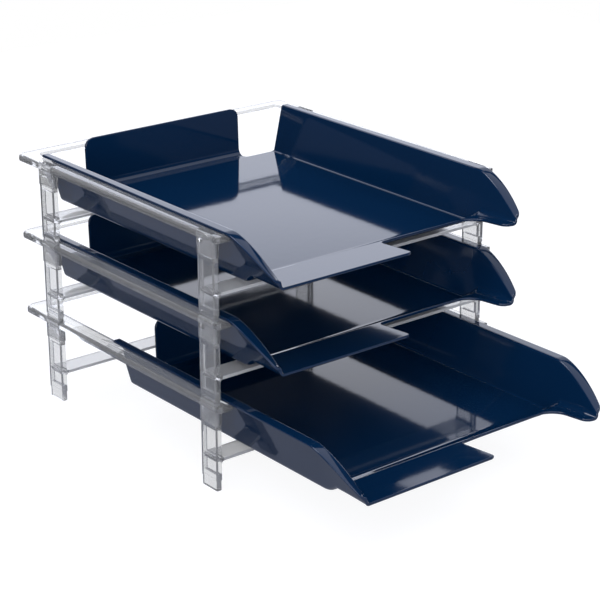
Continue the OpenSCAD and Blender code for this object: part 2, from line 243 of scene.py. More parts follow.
@dataclass
class Sheet:
    """A moulded wall described by paired points of its upper and lower face, closed by rounded rims."""

    edge_r: float = 0.7 * MM
    arc_steps: int = 3
    upper: list[Vector] = field(default_factory=list)
    lower: list[Vector] = field(default_factory=list)
    quads: list[tuple[int, int, int, int]] = field(default_factory=list)
    _seen: dict[tuple[int, int, int], int] = field(default_factory=dict)

    def _index(self, pair: Pair) -> int:
        """Number of a pair of points, shared where patches meet.

        Args:
            pair: upper and lower point.

        Returns:
            The pair's number.
        """
        key = tuple(round(c / (0.02 * MM)) for c in pair[0])
        if key not in self._seen:
            self._seen[key] = len(self.upper)
            self.upper.append(pair[0].copy())
            self.lower.append(pair[1].copy())
        return self._seen[key]

    def add_patch(self, rows: list[Row]) -> None:
        """Add a grid of quads.

        Args:
            rows: rows of pairs from the rear to the front, each from left to right.
        """
        grid = [[self._index(pair) for pair in row] for row in rows]
        for back, fore in zip(grid, grid[1:]):
            for j in range(len(back) - 1):
                corners = (back[j], fore[j], fore[j + 1], back[j + 1])
                if len(set(corners)) == 4:
                    self.quads.append(corners)

    def _rim_edges(self) -> list[tuple[int, int]]:
        """Directed edges that only one quad uses."""
        edges = [(q[i], q[(i + 1) % 4]) for q in self.quads for i in range(4)]
        used = set(edges)
        return [(a, b) for a, b in edges if (b, a) not in used]

    def _outward(self, edges: list[tuple[int, int]]) -> dict[int, Vector]:
        """Direction out of the sheet at each rim point, lengthened at corners.

        Args:
            edges: directed rim edges.

        Returns:
            Outward vector of each rim point.
        """
        sums: dict[int, list[Vector]] = {}
        for a, b in edges:
            along = (self.upper[b] - self.upper[a]).normalized()
            for end in (a, b):
                thick = (self.upper[end] - self.lower[end]).normalized()
                sums.setdefault(end, []).append(along.cross(thick).normalized())
        result = {}
        for point, normals in sums.items():
            mean = sum(normals, Vector()).normalized()
            stretch = max(0.6, min(mean.dot(n) for n in normals))
            result[point] = mean / stretch
        return result

    def _radius(self, outward: dict[int, Vector]) -> dict[int, float]:
        """Rounding that each rim point has room for.

        Args:
            outward: outward vector of each rim point.

        Returns:
            Radius at each rim point.
        """
        room = {p: self.edge_r for p in outward}
        for quad in self.quads:
            for p in quad:
                if p not in outward:
                    continue
                for other in quad:
                    if other not in outward:
                        depth = (self.upper[p] - self.upper[other]).dot(outward[p].normalized())
                        room[p] = min(room[p], max(0.04 * MM, 0.55 * depth))
        for p in room:
            room[p] = min(room[p], 0.45 * (self.upper[p] - self.lower[p]).length)
        return room

    def _ring(self, p: int, out: Vector, r: float) -> list[Vector]:
        """Points around the rounded rim at one place, from the upper to the lower face.

        Args:
            p: number of the rim point.
            out: outward vector there.
            r: rounding radius.

        Returns:
            Points of the rim, first on the upper face, last on the lower one.
        """
        up, low = self.upper[p], self.lower[p]
        thick = (up - low).normalized()
        angles = [math.radians(90 - 90 * i / self.arc_steps) for i in range(self.arc_steps + 1)]
        top = [up - (out + thick) * r + (out * math.cos(a) + thick * math.sin(a)) * r for a in angles]
        base = [low - (out - thick) * r + (out * math.cos(a) - thick * math.sin(a)) * r
                for a in reversed(angles)]
        return top + base

    def mesh(self, name: str) -> bpy.types.Mesh:
        """Close the sheet into a solid with rounded rims.

        Args:
            name: name of the mesh.

        Returns:
            The finished mesh, smooth all over.
        """
        edges = self._rim_edges()
        outward = self._outward(edges)
        radius = self._radius(outward)
        rings = {p: self._ring(p, outward[p], radius[p]) for p in outward}
        verts: list[Vector] = []
        place: dict[tuple[int, int], int] = {}
        for p in range(len(self.upper)):
            ring = rings.get(p)
            points = ring if ring else [self.upper[p], self.lower[p]]
            for k, point in enumerate(points):
                place[(p, k)] = len(verts)
                verts.append(point)
        last = {p: (len(rings[p]) - 1 if p in rings else 1) for p in range(len(self.upper))}
        faces = [tuple(place[(p, 0)] for p in q) for q in self.quads]
        faces += [tuple(place[(p, last[p])] for p in reversed(q)) for q in self.quads]
        for a, b in edges:
            for k in range(last[a]):
                faces.append((place[(b, k)], place[(a, k)], place[(a, k + 1)], place[(b, k + 1)]))
        mesh = bpy.data.meshes.new(name)
        mesh.from_pydata([tuple(v) for v in verts], [], faces)
        mesh.validate()
        mesh.polygons.foreach_set("use_smooth", [True] * len(mesh.polygons))
        mesh.update()
        return mesh


# Tray


@dataclass
class Tray:
    """One navy tray: floor, leaning walls with flanges, swept wings, stepped lip with a notch, back panel.

    Sizes are in millimetres, heights from the top of the rim, Y from the middle between the legs.
    """

    tier: Tier
    finish: bpy.types.Material
    under_finish: bpy.types.Material
    under_turn: float = -0.8
    tier_pitch: float = 67.3
    seat_depth: float = 6.3
    leg_mid_y: float = 60.5
    pull: float = 0.0
    rail_inner_x: float = 125.0
    guide_gap: float = 1.1
    floor_drop: float = 38.3
    wall_lean: float = math.radians(14.4)
    wall_t: float = 2.2
    fillet_r: float = 2.2
    flange_top: float = 2.4
    flange_t: float = 2.2
    flange_x: float = 131.3
    flange_taper: float = 2.3
    flange_edge_r: float = 1.6
    rear_y: float = 126.5
    rear_lean: float = math.radians(2.0)
    rear_corner_r: float = 2.5
    front_y: float = -177.0
    lip_len: float = 54.5
    step_len: float = 17.6
    step_rise: float = 7.2
    step_foot: float = 0.6
    step_crest: float = 0.09
    lip_rise: float = 1.4
    wing_len: float = 51.0
    wing_level: float = 12.0
    wing_run: float = 17.0
    wing_fall: float = 15.8
    tip_h: float = 2.6
    tip_flare: float = 2.9
    tip_flange_w: float = 4.8
    tip_tilt: float = 3.0
    tip_r: float = 3.5
    wing_crown: float = 0.35
    strip_fillet_r: float = 7.0
    notch_ahead: float = 0.9
    notch_left: float = 6.0
    tongue_slant: float = 2.5
    notch_left_r: float = 5.0
    notch_right_r: float = 15.0
    notch_margin: float = 9.0
    tongue_tip_r: float = 4.0
    strip_tip_r: float = 7.0
    panel_y: float = 140.0
    panel_w: float = 161.0
    panel_rise: float = 4.4
    panel_lean: float = math.radians(2.0)
    panel_corner_r: float = 8.0
    panel_bend_r: float = 6.0
    panel_foot_r: float = 4.0
    inset: float = 1.2
    round_share: float = 0.4
    flange_least_w: float = 0.6
    root_share: float = 0.3
    body_ys: tuple[float, ...] = (95.0, 65.0, 35.0, 5.0, -25.0, -55.0, -85.0, -104.0, -115.0)
    rear_run: float = 9.0
    step_lead: float = 2.0
    step_stops: tuple[float, ...] = (0.0, 0.1, 0.2, 0.3, 0.4, 0.5, 0.6, 0.7, 0.8, 0.87, 0.91, 0.94, 0.97, 1.0)
    notch_drops: tuple[float, ...] = (
        0.0, 0.12, 0.4, 0.9, 1.6, 2.6, 3.8, 5.0, 6.8, 8.6, 10.6, 12.6, 15.0, 18.0, 21.0, 24.0)
    tip_drops: tuple[float, ...] = (9.5, 7.0, 5.4, 4.0, 3.0, 2.0, 1.15, 0.0)
    left_xs: tuple[float, ...] = (-70.0, -55.0, -40.0, -25.0, -10.0, 1.0)
    middle_xs: tuple[float, ...] = (24.0, 36.0, 48.0, 60.0, 72.0)
    outer_x: float = 97.0
    wall_side: float = 1.5
    tongue_sides: tuple[float, float] = (3.0, 1.2)
    wall_shares: tuple[float, ...] = (0.08, 0.3, 0.6, 0.85)
    flange_shares: tuple[float, ...] = (0.2, 0.4, 0.6)
    flange_end_share: float = 0.7
    panel_drops: tuple[float, ...] = (2.6, 4.2, 6.0, 8.0, 14.0, 24.0)
    foot_shares: tuple[float, ...] = (0.85, 0.6, 0.35, 0.15, 0.04, 0.0)
    fillet_steps: int = 6
    flange_bend_steps: int = 5
    panel_bend_steps: int = 8
    halvings: int = 40

    def __post_init__(self) -> None:
        """Work out the places that follow from the sizes."""
        self.node = f"tray_{self.tier.label}"
        self.floor_z = -self.floor_drop
        self.lip_y = self.front_y + self.lip_len
        self.wing_y = self.front_y + self.wing_len
        self.notch_y = self.lip_y - self.step_len - self.notch_ahead
        self.wall_slant = self.wall_t / math.cos(self.wall_lean)
        run = self.floor_drop * math.tan(self.wall_lean)
        self.floor_x = self.rail_inner_x - self.guide_gap - self.wall_slant - run
        self.tip_z = self.floor_z + self.step_rise + self.lip_rise + self.tip_h
        self.left_stop = self.notch_left + self.notch_left_r
        self.right_stop = self.floor_x_at(self.notch_y) - self.notch_margin - self.notch_right_r

    # Heights and widths along the tray

    def floor_at(self, y: float) -> float:
        """Height of the floor's upper face at y: a ramp with a soft foot and a tight crest, then the lip."""
        u = min(max((self.lip_y - y) / self.step_len, 0.0), 1.0)
        foot, crest = self.step_foot, self.step_crest
        slope = 1 / (1 - (foot + crest) / 2)
        if u < foot:
            share = slope * u * u / (2 * foot)
        elif u < 1 - crest:
            share = slope * (u - foot / 2)
        else:
            share = 1 - slope * (1 - u) ** 2 / (2 * crest)
        shelf = max(0.0, (self.lip_y - self.step_len - y) / (self.lip_len - self.step_len))
        return self.floor_z + self.step_rise * share + self.lip_rise * shelf

    def front_share(self, y: float) -> float:
        """Share of the way from the start of the lip to the front edge."""
        return min(max((self.lip_y - y) / self.lip_len, 0.0), 1.0)

    def wing_share(self, y: float) -> float:
        """Share of the way from the start of the wing to the front edge."""
        return min(max((self.wing_y - y) / self.wing_len, 0.0), 1.0)

    def floor_x_at(self, y: float) -> float:
        """Half width of the floor at y, up to the corner of floor and wall."""
        climb = (self.floor_at(y) - self.floor_z) * math.tan(self.wall_lean)
        return self.floor_x + climb + self.tip_flare * self.front_share(y) ** 2

    def _wing_point(self, t: float) -> Point:
        """Point of the wing's top edge, as y and height, at t from 0 to 1."""
        ys = (self.wing_y, self.wing_y - self.wing_level, self.front_y + self.wing_run, self.front_y)
        zs = (self.flange_top, self.flange_top, self.tip_z + self.wing_fall, self.tip_z)
        w = ((1 - t) ** 3, 3 * (1 - t) ** 2 * t, 3 * (1 - t) * t * t, t**3)
        return sum(a * b for a, b in zip(w, ys)), sum(a * b for a, b in zip(w, zs))

    def top_at(self, y: float) -> float:
        """Height of the wall's top edge at y.

        Args:
            y: place along the tray.

        Returns:
            Height of the flange's upper face where it meets the wall.
        """
        if y >= self.wing_y:
            return self.flange_top
        low, high = 0.0, 1.0
        for _ in range(self.halvings):
            mid = (low + high) / 2
            if self._wing_point(mid)[0] > y:
                low = mid
            else:
                high = mid
        return self._wing_point(high)[1]

    def notch_right_at(self, y: float) -> float:
        """Place of the notch's right edge at y, with its rounded corner and rounded front end."""
        edge = self.floor_x_at(y) - self.notch_margin
        centre_y = self.notch_y - self.notch_right_r
        if y <= centre_y:
            tip = max(0.0, self.front_y + self.strip_tip_r - y)
            return edge + self.strip_tip_r - math.sqrt(max(0.0, self.strip_tip_r**2 - tip**2))
        return edge - self.notch_right_r + math.sqrt(max(0.0, self.notch_right_r**2 - (y - centre_y) ** 2))

    def tongue_at(self, y: float) -> float:
        """Place of the tongue's right edge at y, with the notch's corner and its own rounded tip."""
        lean = self.tongue_slant * (self.notch_y - y) / (self.notch_y - self.front_y)
        centre_y = self.notch_y - self.notch_left_r
        if y > centre_y:
            arc = math.sqrt(max(0.0, self.notch_left_r**2 - (y - centre_y) ** 2))
            return self.left_stop - arc + lean * (1 - (y - centre_y) / self.notch_left_r)
        tip = max(0.0, self.front_y + self.tongue_tip_r - y)
        round_off = self.tongue_tip_r - math.sqrt(max(0.0, self.tongue_tip_r**2 - tip**2))
        return self.notch_left + lean - round_off

    # Cross-sections

    def _reach(self, y: float) -> float:
        """Length of floor that the fillet beside the wall takes at y."""
        rise = self.top_at(y) - self.floor_at(y)
        u = min(max((self.lip_y - y) / self.step_len, 0.0), 1.0)
        radius = self.fillet_r + (self.strip_fillet_r - self.fillet_r) * u * u
        return min(radius * math.tan(self._half_turn()), self.round_share * rise)

    def _half_turn(self) -> float:
        """Half the angle between floor and wall's outer side."""
        return (math.pi / 2 - self.wall_lean) / 2

    def _flange_outer(self, y: float, top_x: float, top_z: float) -> Point:
        """Outer edge of the flange at y.

        Args:
            y: place along the tray.
            top_x: place of the wall's top edge.
            top_z: height of the wall's top edge.

        Returns:
            Place and height of the flange's outer upper edge.
        """
        w = self.wing_share(y)
        if w > 0:
            narrow = top_x + self.tip_flange_w
            x = narrow + (self.flange_x - narrow) * (1 - w**1.5)
        else:
            u = min(max((y - self.wing_y) / (self.rear_y - self.wing_y), 0.0), 1.0)
            x = self.flange_x - self.flange_taper * u * u * (3 - 2 * u)
        ahead = max(0.0, self.front_y + self.tip_r - y)
        x -= self.tip_r - math.sqrt(max(0.0, self.tip_r**2 - ahead**2))
        return max(x, top_x + self.flange_least_w), top_z + self.tip_tilt * w * w

    def side(self, y: float) -> list[tuple[Point, Point]]:
        """Fillet, wall and flange of the right side at y.

        Args:
            y: place along the tray.

        Returns:
            Pairs of upper and lower points, from the floor outwards.
        """
        z, x, top_z = self.floor_at(y), self.floor_x_at(y), self.top_at(y)
        lean, rise = self.wall_lean, top_z - z
        reach = self._reach(y)
        r = reach / math.tan(self._half_turn())
        back_reach = min(reach, self.fillet_r * math.tan(self._half_turn()))
        back_r = back_reach / math.tan(self._half_turn())
        top_x = x + rise * math.tan(lean)
        outer = self._flange_outer(y, top_x, top_z)
        span = math.hypot(outer[0] - top_x, outer[1] - top_z)
        along = ((outer[0] - top_x) / span, (outer[1] - top_z) / span)
        edge = min(self.flange_edge_r, self.round_share * rise, self.round_share * span)
        foot_z = z + back_r - (back_r + self.wall_t) * math.sin(lean)
        root_z = max(top_z - self.flange_t, foot_z + 0.1 * rise)
        root = (x + (root_z - z) * math.tan(lean) + self.wall_slant, root_z)
        under = (outer[0] - root[0], outer[1] - self.flange_t - root[1])
        pairs: list[tuple[Point, Point]] = []
        for i in range(self.fillet_steps + 1):
            a = -math.pi / 2 + (math.pi / 2 - lean) * i / self.fillet_steps
            d = (math.cos(a), math.sin(a))
            pairs.append((
                (x - reach + r * d[0], z + r + r * d[1]),
                (x - back_reach + (back_r + self.wall_t) * d[0], z + back_r + (back_r + self.wall_t) * d[1]),
            ))
        start, start_low = pairs[-1]
        end = (top_x - edge * math.sin(lean), top_z - edge * math.cos(lean))
        for f in self.wall_shares:
            pairs.append((
                (start[0] + (end[0] - start[0]) * f, start[1] + (end[1] - start[1]) * f),
                (start_low[0] + (root[0] - start_low[0]) * f, start_low[1] + (root[1] - start_low[1]) * f),
            ))
        for i in range(self.flange_bend_steps + 1):
            t = i / self.flange_bend_steps
            w = ((1 - t) ** 2, 2 * t * (1 - t), t * t)
            far = (top_x + edge * along[0], top_z + edge * along[1])
            up = tuple(w[0] * end[k] + w[1] * (top_x, top_z)[k] + w[2] * far[k] for k in (0, 1))
            share = self.root_share * t
            pairs.append((up, (root[0] + share * under[0], root[1] + share * under[1])))
        rest = span - edge
        crown = 4 * self.wing_crown * math.sqrt(self.wing_share(y))
        for f in (*self.flange_shares, max(self.flange_end_share, 1 - self.inset / rest), 1.0):
            lift = crown * f * (1 - f)
            share = self.root_share + (1 - self.root_share) * f
            pairs.append((
                (top_x + (edge + rest * f) * along[0], top_z + (edge + rest * f) * along[1] + lift),
                (root[0] + share * under[0], root[1] + share * under[1]),
            ))
        return pairs

    def _vector(self, x: float, y: float, z: float) -> Vector:
        """Point of the tray in metres, in the frame of the whole object."""
        lift = (self.tier.value + 1) * self.tier_pitch + self.seat_depth
        return Vector((x, y + self.leg_mid_y - self.pull, z + lift)) * MM

    def _rear_shift(self, x: float, z: float, share: float) -> float:
        """How far the rear end at one height lies behind the floor's rear edge.

        Args:
            x: place across the tray.
            z: height of the point.
            share: 1 on the rear end itself, falling to 0 further forward.

        Returns:
            Shift along Y, with the lean of the end and its rounded lower corner.
        """
        shift = (z - self.floor_z) * math.tan(self.rear_lean)
        up = z - (self.floor_z - self.wall_t)
        if abs(x) > self.floor_x - self.rear_corner_r and up < self.rear_corner_r:
            r = self.rear_corner_r
            shift -= r - math.sqrt(max(0.0, r * r - (r - max(up, 0.0)) ** 2))
        return shift * share

    def row(self, y: float, floor_xs: list[float], left: bool, right: bool, rear: float = 0.0) -> Row:
        """One row of the tray's sheet.

        Args:
            y: place along the tray.
            floor_xs: places of the floor's points, from left to right.
            left: whether the row has the left wall.
            right: whether the row has the right wall.
            rear: share of the rear end's lean that the row takes.

        Returns:
            Pairs from left to right.
        """
        z = self.floor_at(y)
        floor = [((x, z), (x, z - self.wall_t)) for x in floor_xs]
        wall = self.side(y)
        mirrored = [((-u[0], u[1]), (-v[0], v[1])) for u, v in reversed(wall)]
        flat = (mirrored[:-1] if left else []) + floor + (wall[1:] if right else [])
        return [
            (
                self._vector(u[0], y + self._rear_shift(u[0], u[1], rear), u[1]),
                self._vector(v[0], y + self._rear_shift(v[0], v[1], rear), v[1]),
            )
            for u, v in flat
        ]

    # Patches

    def _floor_columns(self) -> tuple[list[float], list[float], list[float]]:
        """Places of the floor's points left of, along and right of the notch."""
        half = self.floor_x - self._reach(0.0)
        foot = self.panel_w / 2 + self.panel_foot_r
        beside = [self.left_stop - d for d in self.tongue_sides]
        left = [-half, self.wall_side - half, -self.outer_x, -foot, *self.left_xs, *beside, self.left_stop]
        middle = [self.left_stop, *self.middle_xs, foot, self.right_stop]
        right = [self.right_stop, (self.right_stop + half) / 2, half - self.wall_side, half]
        return left, middle, right

    def _left_columns(self, y: float, end: float) -> list[float]:
        """Floor points at y from the left wall to the given place."""
        left = self._floor_columns()[0]
        start = self._reach(y) - self.floor_x_at(y)
        scale = (end - start) / (left[-1] - left[0])
        return [start + (x - left[0]) * scale for x in left]

    def _right_columns(self, y: float, start: float) -> list[float]:
        """Floor points at y from the given place to the right wall."""
        right = self._floor_columns()[2]
        end = self.floor_x_at(y) - self._reach(y)
        scale = (end - start) / (right[-1] - right[0])
        return [start + (x - right[0]) * scale for x in right]

    def _body_rows(self) -> list[Row]:
        """Rows from the rear end, over the step, to the rear edge of the notch."""
        middle = self._floor_columns()[1]
        stops = [(self.rear_y, 1.0), (self.rear_y - self.inset, 1.0), (self.rear_y - self.rear_run, 0.0)]
        stops += [(y, 0.0) for y in (*self.body_ys, self.lip_y + self.step_lead)]
        stops += [(self.lip_y - self.step_len * u, 0.0) for u in self.step_stops]
        stops += [(self.notch_y, 0.0)]
        rows = []
        for y, lean in stops:
            left, right = self._left_columns(y, self.left_stop), self._right_columns(y, self.right_stop)
            rows.append(self.row(y, left + middle[1:] + right[1:], True, True, lean))
        return rows

    def _front_stops(self) -> list[float]:
        """Distances of the front rows from the notch's rear edge."""
        length = self.notch_y - self.front_y
        return [*self.notch_drops, *(length - back for back in self.tip_drops)]

    def _tongue_rows(self) -> list[Row]:
        """Rows of the lip left of the notch."""
        ys = [self.notch_y - d for d in self._front_stops()]
        return [self.row(y, self._left_columns(y, self.tongue_at(y)), True, False) for y in ys]

    def _strip_rows(self) -> list[Row]:
        """Rows of the narrow lip right of the notch."""
        ys = [self.notch_y - d for d in self._front_stops()]
        return [self.row(y, self._right_columns(y, self.notch_right_at(y)), False, True) for y in ys]

    def _panel_profile(self) -> list[tuple[Point, Point, float]]:
        """Side view of the floor's rear end bent up into the panel.

        Returns:
            Front point, rear point and half width of the panel at each row, from the top edge down.
        """
        lean, t, r = self.panel_lean, self.wall_t, self.panel_bend_r
        shift = t / math.cos(lean)
        foot_y = self.panel_y - shift + self.floor_z * math.tan(lean)
        half = self.panel_w / 2
        reach = r / math.tan((math.pi / 2 + lean) / 2)
        bend_y, bend_z = foot_y - reach, self.floor_z + r
        rows: list[tuple[Point, Point, float]] = []
        turn = math.pi / 2 - lean
        for d in (0.0, self.inset, *self.panel_drops):
            z = self.panel_rise - d
            y = foot_y + (z - self.floor_z) * math.tan(lean)
            c = max(0.0, self.panel_corner_r - d)
            width = half - self.panel_corner_r + math.sqrt(self.panel_corner_r**2 - c * c)
            rows.append(((y, z), (y + shift, z), width))
        for i in range(self.panel_bend_steps + 1):
            a = -lean - turn * i / self.panel_bend_steps
            dy, dz = math.cos(a), math.sin(a)
            inner = (bend_y + r * dy, bend_z + r * dz)
            rows.append((inner, (bend_y + (r + t) * dy, bend_z + (r + t) * dz), half))
        f = self.panel_foot_r
        for d in (share * f for share in self.foot_shares):
            width = half + f - math.sqrt(f * f - (f - d) ** 2)
            rows.append(((self.rear_y + d, self.floor_z), (self.rear_y + d, self.floor_z - t), width))
        return rows

    def _panel_rows(self) -> list[Row]:
        """Rows of the back panel, from its top edge down to the floor."""
        left, middle, _ = self._floor_columns()
        foot = self.panel_w / 2 + self.panel_foot_r
        xs = [x for x in left + middle[1:] if abs(x) <= foot + 0.001]
        rows = []
        for front, rear, width in self._panel_profile():
            scale = width / foot
            rows.append([(self._vector(x * scale, *front), self._vector(x * scale, *rear)) for x in xs])
        return rows

    def build(self) -> bpy.types.Object:
        """Make the tray, dress it and put it in place of its solid.

        Returns:
            The tray's object.
        """
        sheet = Sheet()
        sheet.add_patch(self._body_rows())
        sheet.add_patch(self._panel_rows())
        sheet.add_patch(self._tongue_rows())
        sheet.add_patch(self._strip_rows())
        obj = bpy.data.objects.new(f"{self.node}_moulding", sheet.mesh(f"{self.node}_moulding"))
        bpy.context.scene.collection.objects.link(obj)
        obj.data.materials.append(self.finish)
        obj.data.materials.append(self.under_finish)
        for face in obj.data.polygons:
            face.material_index = 1 if face.normal.z < self.under_turn else 0
        weigh = obj.modifiers.new("even_gloss", "WEIGHTED_NORMAL")
        weigh.mode = "FACE_AREA_WITH_ANGLE"
        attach(obj, self.node)
        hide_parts(self.node)
        log.info("%s: %d faces", obj.name, len(obj.data.polygons))
        return obj


# Clear frame


@dataclass
class ClearMoulding:
    """A clear moulding of the frame: the solid's own shape with softly broken edges."""

    piece: FramePiece
    tier: Tier
    finish: bpy.types.Material
    bar_finish: bpy.types.Material
    edge_width: float = 0.3 * MM
    edge_steps: int = 2
    weld: float = 0.004 * MM
    sharp_turn: float = math.radians(28.0)
    tier_pitch: float = 67.3 * MM
    bar_band: tuple[float, float] = (20.0 * MM, 32.0 * MM)
    bar_end_x: float = 128.0 * MM

    @property
    def node(self) -> str:
        """Name of the solid that the moulding stands for."""
        return f"{self.piece.value}_{self.tier.label}"

    def _beside_bar(self, place: Vector) -> bool:
        """Whether a place lies on the small fillets between a leg and its crossbar."""
        height = place.z - self.tier.value * self.tier_pitch
        return abs(place.x) > self.bar_end_x and self.bar_band[0] < height < self.bar_band[1]

    def _outer_edges(self, bm: bmesh.types.BMesh) -> list[bmesh.types.BMEdge]:
        """Sharp outer edges that are broken.

        Args:
            bm: the solid's faces.

        Returns:
            The edges, without those of the fillets beside a crossbar.
        """
        sharp = [e for e in bm.edges if e.is_manifold and e.calc_face_angle_signed(0.0) > self.sharp_turn]
        if self.piece is FramePiece.RIM:
            return sharp
        return [e for e in sharp if not any(self._beside_bar(v.co) for v in e.verts)]

    def _mesh(self) -> bpy.types.Mesh:
        """Copy the solid's faces and break their outer edges.

        Returns:
            The moulding's mesh.
        """
        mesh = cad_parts[self.node].data.copy()
        mesh.name = f"{self.node}_moulding"
        mesh.materials.clear()
        bm = bmesh.new()
        bm.from_mesh(mesh)
        bmesh.ops.remove_doubles(bm, verts=bm.verts, dist=self.weld)
        bmesh.ops.dissolve_degenerate(bm, dist=self.weld, edges=bm.edges)
        bm.normal_update()
        bmesh.ops.bevel(bm, geom=self._outer_edges(bm), offset=self.edge_width, offset_type="OFFSET",
                        segments=self.edge_steps, profile=0.5, affect="EDGES", clamp_overlap=False)
        for face in bm.faces:
            face.smooth = True
        bm.to_mesh(mesh)
        bm.free()
        mesh.set_sharp_from_angle(angle=self.sharp_turn)
        return mesh

    def build(self) -> bpy.types.Object:
        """Make the moulding, dress it and put it in place of its solid.

        Returns:
            The moulding's object.
        """
        obj = bpy.data.objects.new(f"{self.node}_moulding", self._mesh())
        bpy.context.scene.collection.objects.link(obj)
        obj.data.materials.append(self.finish)
        obj.data.materials.append(self.bar_finish)
        for face in obj.data.polygons:
            on_bar = self.piece is not FramePiece.RIM and abs(face.center.x) < self.bar_end_x
            face.material_index = 1 if on_bar else 0
        weigh = obj.modifiers.new("even_gloss", "WEIGHTED_NORMAL")
        weigh.keep_sharp = True
        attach(obj, "frame")
        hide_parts(self.node)
        log.info("%s: %d faces", obj.name, len(obj.data.polygons))
        return obj


# Studio


@dataclass(frozen=True)
class Softbox:
    """A rectangular soft lamp."""

    name: str
    place: tuple[float, float, float]
    aim: tuple[float, float, float]
    width: float
    height: float
    radiance: float
    colour: tuple[float, float, float] = (1.0, 1.0, 1.0)
    top_level: float = 1.0
    fade: tuple[float, float] = (0.44, 0.62)

    def _dim_top(self, lamp: bpy.types.AreaLight) -> None:
        """Let the lamp fall off from its lower to its upper half.

        Args:
            lamp: the lamp that gets the nodes.
        """
        lamp.use_nodes = True
        canvas = NodeCanvas(lamp.node_tree)
        place = canvas.add("ShaderNodeNewGeometry")
        split = canvas.add("ShaderNodeSeparateXYZ")
        canvas.link(place.outputs["Parametric"], split.inputs["Vector"])
        start, end = self.fade
        level = canvas.add("ShaderNodeMapRange", in_From_Min=start, in_From_Max=end, in_To_Min=1.0,
                           in_To_Max=self.top_level)
        canvas.link(split.outputs["Y"], level.inputs["Value"])
        glow = canvas.add("ShaderNodeEmission")
        canvas.link(level.outputs["Result"], glow.inputs["Strength"])
        out = canvas.add("ShaderNodeOutputLight")
        canvas.link(glow.outputs["Emission"], out.inputs["Surface"])

    def build(self) -> bpy.types.Object:
        """Hang the lamp and turn it to what it lights.

        Returns:
            The lamp's object.
        """
        lamp = bpy.data.lights.new(self.name, "AREA")
        lamp.shape = "RECTANGLE"
        lamp.size = self.width
        lamp.size_y = self.height
        lamp.color = self.colour
        lamp.energy = self.radiance * math.pi * self.width * self.height
        if self.top_level < 1.0:
            self._dim_top(lamp)
        obj = bpy.data.objects.new(self.name, lamp)
        obj.location = self.place
        aim = Vector(self.aim) - Vector(self.place)
        obj.rotation_euler = aim.to_track_quat("-Z", "Y").to_euler()
        bpy.context.scene.collection.objects.link(obj)
        return obj


COOL = (0.86, 0.89, 1.0)


